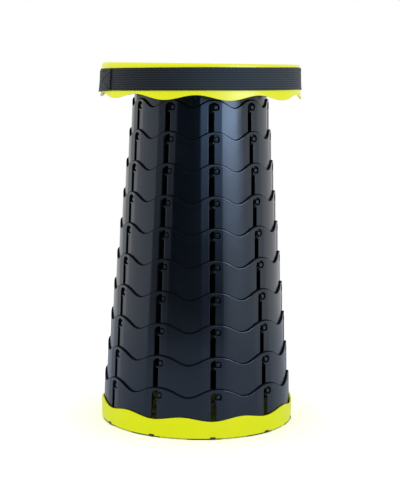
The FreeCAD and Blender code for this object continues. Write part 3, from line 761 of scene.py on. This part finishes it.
# %% Ribs and bosses under the seat
HUB_RADIUS, HUB_RING, RIB_THICK, SEAT_RIB = 76.0, 14.0, 2.0, 8.0
SCREWS, BOSS_RADIUS, BOSS_BORE, BOSS_HIGH, BOSS_INSET = 5, 4.0, 1.5, 9.0, 10.0
SMALL_ROUND, SUNK = 0.3, 0.2


def add_block(bm, size, place, round_by=SMALL_ROUND):
    """A block with rounded edges, size in x, y and z, put in place by a matrix."""
    start = set(bm.verts)
    made = bmesh.ops.create_cube(bm, size=1.0, matrix=Matrix.Diagonal((*size, 1.0)))
    bevel(bm, list(dict.fromkeys(e for v in made["verts"] for e in v.link_edges)), round_by)
    bmesh.ops.transform(bm, matrix=place, verts=added(bm, start))


def add_tube(bm, radius, bore, low, high, place=Matrix.Identity(4), segments=32):
    """A short tube with a rounded end, from low to high."""
    start = set(bm.verts)
    section = ([(bore, high), (radius, high)]
               + quarter(radius - SMALL_ROUND, low + SMALL_ROUND, SMALL_ROUND, 0, 2)
               + quarter(bore + SMALL_ROUND, low + SMALL_ROUND, SMALL_ROUND, 270, 2))
    spin_section(bm, section, segments, closed=True)
    bmesh.ops.remove_doubles(bm, verts=added(bm, start), dist=WELD)
    bmesh.ops.transform(bm, matrix=place, verts=added(bm, start))


def add_ribs(bm, high, middle_z):
    """Ten radial ribs, one in line with each slot."""
    for i in range(REPEATS):
        place = place_at(SLOT_PHASE + SECTOR * i, (HUB_RADIUS + HUB_RING) / 2, middle_z)
        add_block(bm, (RIB_THICK, HUB_RADIUS - HUB_RING, high), place)


plate_under = SEAT_TOP - SEAT_PLATE
boss_circle = stage_radius(0) - SLOPE * COLLAR_HIGH - WALL - BOSS_INSET
add_ribs(bm, SEAT_RIB, plate_under - SEAT_RIB / 2)
add_tube(bm, HUB_RING + RIB_THICK, HUB_RING, plate_under - SEAT_RIB, plate_under + SUNK, segments=48)
screw_turns = [SLOT_PHASE + math.tau * i / SCREWS for i in range(SCREWS)]
for turn in screw_turns:
    add_tube(bm, BOSS_RADIUS, BOSS_BORE, plate_under - BOSS_HIGH, plate_under + SUNK,
             place_at(turn, boss_circle, 0))
print("the screw bosses stand on a circle of radius", round(boss_circle, 1), "mm")

# %% [markdown]
# At the left and right the skirt carries a lug for the strap: a plate above and a plate below the
# webbing, joined by a bar that the webbing folds round. The strap's height is one function of the angle,
# so that lugs, webbing and stitches agree.

# %% Strap lugs
STRAP_MIDDLE, STRAP_THICK, STRAP_GAP = 431.9, 1.1, 0.05
STRAP_TILT, STRAP_SAG, SAG_SOFT = 0.031, 0.019, 10
RIGHT_DROP, RIGHT_DROP_FROM = 0.0016, 60
BAR_RADIUS, BAR_SIDES = 0.4, 20
BAR_AXIS = SEAT_RADIUS + STRAP_THICK + 2 * STRAP_GAP + BAR_RADIUS
LUG_WIDE, LUG_THICK, LUG_GAP, LUG_ROUND, LUG_SHORT = 5.0, 1.2, 0.1, 0.5, 0.2
LUG_ANGLES = {-1: math.radians(-90), 1: math.radians(100)}


def strap_height(angle):
    """Height of the webbing's middle at an angle from the front. It falls a little towards both lugs."""
    turn = math.degrees(angle)
    sag = STRAP_SAG * (math.hypot(turn, SAG_SOFT) - SAG_SOFT)
    return STRAP_MIDDLE + STRAP_TILT * turn - sag - RIGHT_DROP * max(0, turn - RIGHT_DROP_FROM) ** 2


lug_reach = BAR_AXIS + BAR_RADIUS - LUG_SHORT
lug_root = SEAT_RADIUS - SKIRT_WALL / 2
for side, lug_angle in LUG_ANGLES.items():
    bar_middle = strap_height(lug_angle)
    square_on = Matrix.Rotation(lug_angle - side * math.radians(90), 4, "Z")
    for up in (-1, 1):
        level = bar_middle + up * (STRAP_WIDE / 2 + LUG_GAP + LUG_THICK / 2)
        add_block(bm, (lug_reach - lug_root, LUG_WIDE, LUG_THICK),
                  square_on @ Matrix.Translation((side * (lug_reach + lug_root) / 2, 0, level)), LUG_ROUND)
    cylinder(bm, BAR_RADIUS, STRAP_WIDE + 2 * LUG_GAP + LUG_THICK, BAR_SIDES,
             square_on @ Matrix.Translation((side * BAR_AXIS, 0, bar_middle)))
flare(bm)
finish_mesh(bm, "seat_lid", seat_plastic, "seat", ["seat_cap"])

# %% [markdown]
# The base is a shallow tray with a waving rim. The largest ring stands in it. Its section is spun in
# the same way, with the floor, a rim that reaches a little lower, and a rounded lower edge. The rim
# leans in by 0.6 mm towards its foot, as the picture shows.

# %% Base tray
RIM_OUTER, RIM_INNER = 121.56, 119.26
RIM_LOW, RIM_CREST = 0.8, 26.4
RIM_WAVE, WAVE_REACH = 4.7, 5
RIM_ROUND, RIM_DRAFT = 1.5, 0.6
TOP_INNER, TOP_OUTER, FOOT_EDGE = 0.5, 0.7, 0.3
FLOOR_UNDER = 2.0
BASE_RIB = 4.0
base_section = (
    [(0, FLOOR_TOP), (RIM_INNER, FLOOR_TOP)]
    + [(RIM_INNER + TOP_INNER - TOP_INNER * math.cos(math.radians(t)),
        RIM_CREST - TOP_INNER + TOP_INNER * math.sin(math.radians(t))) for t in (0, 30, 60, 90)]
    + quarter(RIM_OUTER - TOP_OUTER, RIM_CREST - TOP_OUTER, TOP_OUTER, 90)
    + quarter(RIM_OUTER - RIM_DRAFT - RIM_ROUND, RIM_LOW + RIM_ROUND, RIM_ROUND, 0, 5)
    + [(RIM_INNER + FOOT_EDGE, RIM_LOW), (RIM_INNER, RIM_LOW + FOOT_EDGE), (RIM_INNER, FLOOR_UNDER),
       (0, FLOOR_UNDER)]
)
bm = spun(base_section)
for vert in bm.verts:
    if vert.co.z > RIM_CREST - WAVE_REACH:
        angle = math.atan2(vert.co.x, -vert.co.y) - SLOT_PHASE
        vert.co.z -= RIM_WAVE / 2 * (1 + math.cos(angle * REPEATS))
add_ribs(bm, BASE_RIB + SUNK, FLOOR_TOP + (BASE_RIB - SUNK) / 2)
# The tray's floor and ribs get the darker finish: painted shade under the rings.
for face in bm.faces:
    middle = face.calc_center_median()
    if FLOOR_UNDER + 0.1 < middle.z < FLOOR_TOP + BASE_RIB + 0.1 and middle.xy.length < RIM_INNER - 1:
        face.material_index = 1
finish_mesh(bm, "base_tray_rim", base_plastic, "base", ["base_tray"], inside=tray_core_side_painted_shade)

# %% [markdown]
# Ten rubber pads carry the base, 2 mm high under its floor. Each is an arc with two grip grooves and a
# small tab that shows in the rim's edge. A section of the pad is swept a few degrees about the axis.

# %% Foot pads
PAD_HIGH, PAD_WIDE, PAD_INSET = 2.0, 15.0, 0.9
PAD_LEAD, PAD_TAIL, PAD_STEPS = math.radians(14.5), math.radians(5.0), 12
PAD_CHAMFER, GRIP_DEEP, GRIPS = 0.3, 0.4, (10.2, 5.2)
TAB_SIZE, TAB_INSET, TAB_MIDDLE, TAB_ROUND = (6.5, 2.7, 2.2), 1.4, 2.1, 0.25
pad_outer = RIM_OUTER - PAD_INSET
pad_inner = pad_outer - PAD_WIDE
for number in range(1, REPEATS + 1):
    node = "foot_pad_%02d" % number
    bm = bmesh.new()
    tread = [(pad_inner + PAD_CHAMFER, 0), (pad_inner, PAD_CHAMFER), (pad_inner, PAD_HIGH),
             (pad_outer, PAD_HIGH), (pad_outer, PAD_CHAMFER), (pad_outer - PAD_CHAMFER, 0)]
    for grip in GRIPS:
        tread += [(pad_inner + grip + GRIP_DEEP, 0), (pad_inner + grip, GRIP_DEEP),
                  (pad_inner + grip - GRIP_DEEP, 0)]
    bm.faces.new([bm.verts.new((0, -r, z)) for r, z in tread])
    turn = SLOT_PHASE + SECTOR * (number - 1)
    bmesh.ops.rotate(bm, cent=(0, 0, 0), matrix=Matrix.Rotation(turn - PAD_LEAD, 3, "Z"), verts=bm.verts)
    spin(bm, bm.verts[:] + bm.edges[:] + bm.faces[:], PAD_LEAD + PAD_TAIL, PAD_STEPS)
    bmesh.ops.recalc_face_normals(bm, faces=bm.faces)
    add_block(bm, TAB_SIZE, place_at(turn, RIM_OUTER - TAB_INSET, TAB_MIDDLE), TAB_ROUND)
    finish_mesh(bm, "rubber_" + node, pad_rubber, "base", [node])

# %% [markdown]
# The strap starts at one lug, lies against the front of the skirt and ends at the other lug. On the
# left it folds round the bar and comes back over itself, where a box with a cross of stitches holds
# it. On the right the picture shows no patch, so its end is tucked in behind the band, which steps out
# over it. The path of its middle is drawn first. Its length is that of the webbing laid flat.

# %% Path of the webbing
PATCH_ANGLE, PATCH_SAG = math.radians(60.0), 1.8
SAG_IN, SAG_OUT = 14, 8
LOOP_SPAN = math.radians(2.4)
LEFT_END, RIGHT_END = LUG_ANGLES[-1] + LOOP_SPAN, LUG_ANGLES[1] - LOOP_SPAN
STEP_START, STEP_LOW, TUCK_ANGLE = math.radians(86), math.radians(88), math.radians(91.5)
TUCK_SPARE, STEP_SPARE = math.radians(1.5), math.radians(1)
BAND_RADIUS = SEAT_RADIUS + STRAP_GAP + STRAP_THICK / 2
OVER_RADIUS = BAND_RADIUS + STRAP_THICK + STRAP_GAP
LOOP_RADIUS = BAR_RADIUS + STRAP_GAP + STRAP_THICK / 2
LOOP_TURNS = range(0, 181, 20)


def band_arc(start, end, first=BAND_RADIUS, last=BAND_RADIUS, step=2.0):
    """Points round the skirt between two angles from the front, with a smooth change of radius."""
    count = max(1, round(abs(math.degrees(end - start)) / step))
    points = []
    for i in range(count + 1):
        share = i / count
        angle, eased = start + (end - start) * share, share * share * (3 - 2 * share)
        radius = first + (last - first) * eased
        points.append(Vector((radius * math.sin(angle), -radius * math.cos(angle), strap_height(angle))))
    return points


def fold(side):
    """Points round a lug's bar, from the side that faces away from the skirt to the side that faces it."""
    points = []
    for turn in LOOP_TURNS:
        out, back = LOOP_RADIUS * math.cos(math.radians(turn)), LOOP_RADIUS * math.sin(math.radians(turn))
        spot = Vector((side * (BAR_AXIS + out), back, strap_height(LUG_ANGLES[side])))
        points.append(Matrix.Rotation(LUG_ANGLES[side] - side * math.radians(90), 3, "Z") @ spot)
    return points


left_end = band_arc(-PATCH_ANGLE, LEFT_END, OVER_RADIUS, OVER_RADIUS) + fold(-1)
for i, point in enumerate(left_end):
    point.z -= PATCH_SAG * min(1, i / SAG_IN) * min(1, (len(left_end) - 1 - i) / SAG_OUT)
path = (left_end + band_arc(LEFT_END, STEP_START)
        + band_arc(STEP_LOW, TUCK_ANGLE, BAND_RADIUS, OVER_RADIUS, step=1.0)
        + band_arc(TUCK_ANGLE + STEP_SPARE, RIGHT_END, OVER_RADIUS, OVER_RADIUS)
        + fold(1) + band_arc(RIGHT_END, TUCK_ANGLE + TUCK_SPARE, step=1.0))

# %% [markdown]
# A row of points across the webbing, front and back, gives it ribs and thin edges. The row is carried
# along the path, and neighbouring rows are joined. Each corner's place along and across goes into the UV
# map in metres.

# %% Weave the band along its path
ACROSS = 60
RIB_HIGH = 0.4
EDGE_THIN, EDGE_SHARE = 0.35, 0.02
bm = bmesh.new()
uv = bm.loops.layers.uv.new("along_across")
rows = []
travelled = 0.0
for i, point in enumerate(path):
    before, after = path[max(i - 1, 0)], path[min(i + 1, len(path) - 1)]
    tangent = after - before
    normal = Vector((-tangent.y, tangent.x, 0)).normalized()
    if i:
        travelled += (point - path[i - 1]).length
    row = []
    for side in (1, -1):
        for j in range(ACROSS + 1):
            share = j / ACROSS if side == 1 else 1 - j / ACROSS
            rib = RIB_HIGH * (abs(math.sin(math.pi * RIBS * share)) - 1)
            edge = EDGE_THIN * max(0, 1 - min(share, 1 - share) / EDGE_SHARE)
            spot = point + normal * (side * (STRAP_THICK / 2 + rib - edge))
            spot.z = point.z + STRAP_WIDE * (0.5 - share)
            row.append((bm.verts.new(spot), travelled, share))
    rows.append(row)
for a, b in zip(rows, rows[1:]):
    count = len(a)
    for j in range(count):
        k = (j + 1) % count
        corners = (a[j], b[j], b[k], a[k])
        face = bm.faces.new([vert for vert, along, share in corners])
        for loop, (vert, along, share) in zip(face.loops, corners):
            loop[uv].uv = (along * MM, share * STRAP_WIDE * MM)
for row in (rows[0], rows[-1]):
    bm.faces.new([vert for vert, along, share in row])
bmesh.ops.recalc_face_normals(bm, faces=bm.faces)
flare(bm)
webbing = finish_mesh(bm, "strap_webbing_band", strap_webbing, "seat", ["strap"], sharp=60)

# %% [markdown]
# The stitches are short bars of thread that stand a little out of the webbing. They run round the
# doubled end and cross from corner to corner.

# %% Box and cross of stitches
STITCH, STITCH_GAP, THREAD, THREAD_ROUND = 3.0, 1.1, 0.32, 0.6
BOX_LEFT, BOX_RIGHT, BOX_INSET = -math.radians(83.0), -PATCH_ANGLE - math.radians(1.0), 2.4


def stitch_line(bm, start, end):
    """A row of stitches between two places, each (angle from the front, height)."""
    across, up = end[0] - start[0], end[1] - start[1]
    count = max(1, round(math.hypot(across * OVER_RADIUS, up) / (STITCH + STITCH_GAP)))
    for i in range(count):
        share = (i + 0.5) / count
        place = place_at(start[0] + across * share, OVER_RADIUS + STRAP_THICK / 2, start[1] + up * share)
        lean = Matrix.Rotation(-math.atan2(up, across * OVER_RADIUS), 4, "Y")
        add_block(bm, (STITCH, 2 * THREAD, 2 * THREAD), place @ lean, THREAD * THREAD_ROUND)


bm = bmesh.new()
box_middle = strap_height((BOX_LEFT + BOX_RIGHT) / 2) - PATCH_SAG / 2
box_low, box_high = (box_middle + way * (STRAP_WIDE / 2 - BOX_INSET) for way in (-1, 1))
box = [(turn, high) for turn in (BOX_RIGHT, BOX_LEFT) for high in (box_low, box_high)]
for start, end in ((0, 2), (1, 3), (0, 1), (2, 3), (0, 3), (1, 2)):
    stitch_line(bm, box[start], box[end])
flare(bm)
stitches = finish_mesh(bm, "strap_stitches", sewing_thread, "seat")

# %% [markdown]
# Five pan-head screws hold the collar's flange to the seat. They are spun from their profile, because
# they are hidden and a thread would never show.

# %% Screws
HEAD_RADIUS, HEAD_HIGH, SHANK_RADIUS, SHANK_LONG, SHANK_TIP = 3.2, 1.8, 1.5, 8.0, 1
SCREW_SECTION = [(0.0, 0.0), (1.6, 0.08), (2.6, 0.45), (HEAD_RADIUS, 1.2), (HEAD_RADIUS, HEAD_HIGH),
                 (SHANK_RADIUS, HEAD_HIGH), (SHANK_RADIUS, HEAD_HIGH + SHANK_LONG - SHANK_TIP),
                 (0.0, HEAD_HIGH + SHANK_LONG)]
SCREW_SIDES = 24
screws_low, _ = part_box("seat_screws")
bm = bmesh.new()
for turn in screw_turns:
    start = set(bm.verts)
    spin_section(bm, SCREW_SECTION, SCREW_SIDES)
    place = place_at(turn, boss_circle, screws_low.z / MM)
    bmesh.ops.transform(bm, matrix=place, verts=added(bm, start))
bmesh.ops.remove_doubles(bm, verts=bm.verts, dist=WELD)
bmesh.ops.recalc_face_normals(bm, faces=bm.faces)
finish_mesh(bm, "pan_head_screws", screw_steel, "seat", ["seat_screws"])

# %% [markdown]
# The studio is a pale table in a white surround, which lights the stool evenly. The camera sees the
# table whiter than it is, as a full exposure shows it, and the stool's shadow stays on it.

# %% Floor
FLOOR_RADIUS = 0.75
SEEN_WHITE = 1.25


def stage_material(name, colour, seen_white=None):
    """A plain diffuse surface. The camera may see it whiter."""
    material = bpy.data.materials.new(name)
    material.use_nodes = True
    tree = material.node_tree
    tree.nodes.clear()
    diffuse = add_node(tree, "ShaderNodeBsdfDiffuse", values={"Color": linear(colour)})
    if seen_white:
        path_kind = add_node(tree, "ShaderNodeLightPath")
        whiter = add_node(tree, "ShaderNodeMix", {"data_type": "RGBA"},
                          {"A": linear(colour), "B": (seen_white, seen_white, seen_white, 1.0)},
                          {"Factor": (path_kind, "Is Camera Ray")})
        tree.links.new(whiter.outputs["Result"], diffuse.inputs["Color"])
    add_node(tree, "ShaderNodeOutputMaterial", links={"Surface": (diffuse, 0)})
    return material


def stage_piece(bm, name, material):
    """A piece of the studio, which isn't part of the stool."""
    piece = to_piece(bm, name, [material])
    return piece


bm = bmesh.new()
bmesh.ops.create_circle(bm, cap_ends=True, segments=96, radius=FLOOR_RADIUS)
stage_piece(bm, "studio_floor", stage_material("matt_white_table", "#D8E2F0", SEEN_WHITE))
print("the table is a disc of", 2 * FLOOR_RADIUS, "m")

# %% [markdown]
# A black cloth lies in front of the stool, and a dim blue-grey wall stands behind the camera. The rings
# mirror them as the dark band down their middle. They don't show in the picture or shade the stool.

# %% Dark floor and the room behind the camera
ROOM_LEFT, ROOM_RIGHT = math.radians(-56), math.radians(36)
ROOM_NEAR, ROOM_FAR, WALL_FOOT, WALL_TOP = 0.76, 2.6, 0.46, 2.4
CLOTH_LEVEL, ROOM_STEPS = -0.002, 24


def backdrop(name, profile, material):
    """A profile of (radius, height) corners swept about the stool, which only reflections see."""
    bm = bmesh.new()
    corners = [bm.verts.new((0, -r, z)) for r, z in profile]
    edges = [bm.edges.new((a, b)) for a, b in zip(corners, corners[1:])]
    bmesh.ops.rotate(bm, cent=(0, 0, 0), matrix=Matrix.Rotation(ROOM_LEFT, 3, "Z"), verts=bm.verts)
    spin(bm, corners + edges, ROOM_RIGHT - ROOM_LEFT, ROOM_STEPS)
    piece = stage_piece(bm, name, material)
    piece.visible_camera = False
    piece.visible_diffuse = False
    print(name, "is", ROOM_FAR, "m away at its far edge")


backdrop("studio_dark_floor", [(ROOM_NEAR, CLOTH_LEVEL), (ROOM_FAR, CLOTH_LEVEL), (ROOM_FAR, WALL_FOOT)],
         stage_material("black_cloth", "#101216"))
backdrop("studio_dim_room", [(ROOM_FAR, WALL_FOOT), (ROOM_FAR, WALL_TOP)],
         stage_material("blue_grey_wall", "#43627E"))

# %% [markdown]
# A large softbox at the right and a small strip lamp near the front draw the two stripes on the rings.
# Both are bluish, and are only mirrored: the white surround alone lights the colours, so that the
# yellow stays even from left to right.

# %% Softboxes and surround
LAMP_DISTANCE, LAMP_AIM = 2.0, 0.45


def softbox(name, azimuth, height, wide, high, watts, colour):
    """A rectangular lamp that the surfaces mirror and aren't lit by."""
    data = bpy.data.lights.new(name, "AREA")
    data.shape = "RECTANGLE"
    data.size, data.size_y = wide, high
    data.energy = watts
    data.color = colour
    lamp = new_object(name, data)
    turn = math.radians(azimuth)
    lamp.location = (LAMP_DISTANCE * math.sin(turn), -LAMP_DISTANCE * math.cos(turn), height)
    lamp.rotation_mode = "QUATERNION"
    lamp.rotation_quaternion = (Vector((0, 0, LAMP_AIM)) - lamp.location).to_track_quat("-Z", "Y")
    lamp.visible_diffuse = False
    print(name, "stands at", azimuth, "degrees with", watts, "W")


softbox("softbox_right", 48, 1.02, wide=1.2, high=1.4, watts=64.0, colour=(0.68, 0.82, 1.0))
softbox("strip_lamp_front", 21, 0.62, wide=0.55, high=0.65, watts=3.8, colour=(0.52, 0.74, 1.0))

world = bpy.data.worlds.new("white_surround")
world.use_nodes = True
bpy.context.scene.world = world
world.node_tree.nodes.clear()
background = add_node(world.node_tree, "ShaderNodeBackground",
                      values={"Color": (1.0, 1.0, 1.0, 1.0), "Strength": 1.0})
add_node(world.node_tree, "ShaderNodeOutputWorld", links={"Surface": (background, 0)})
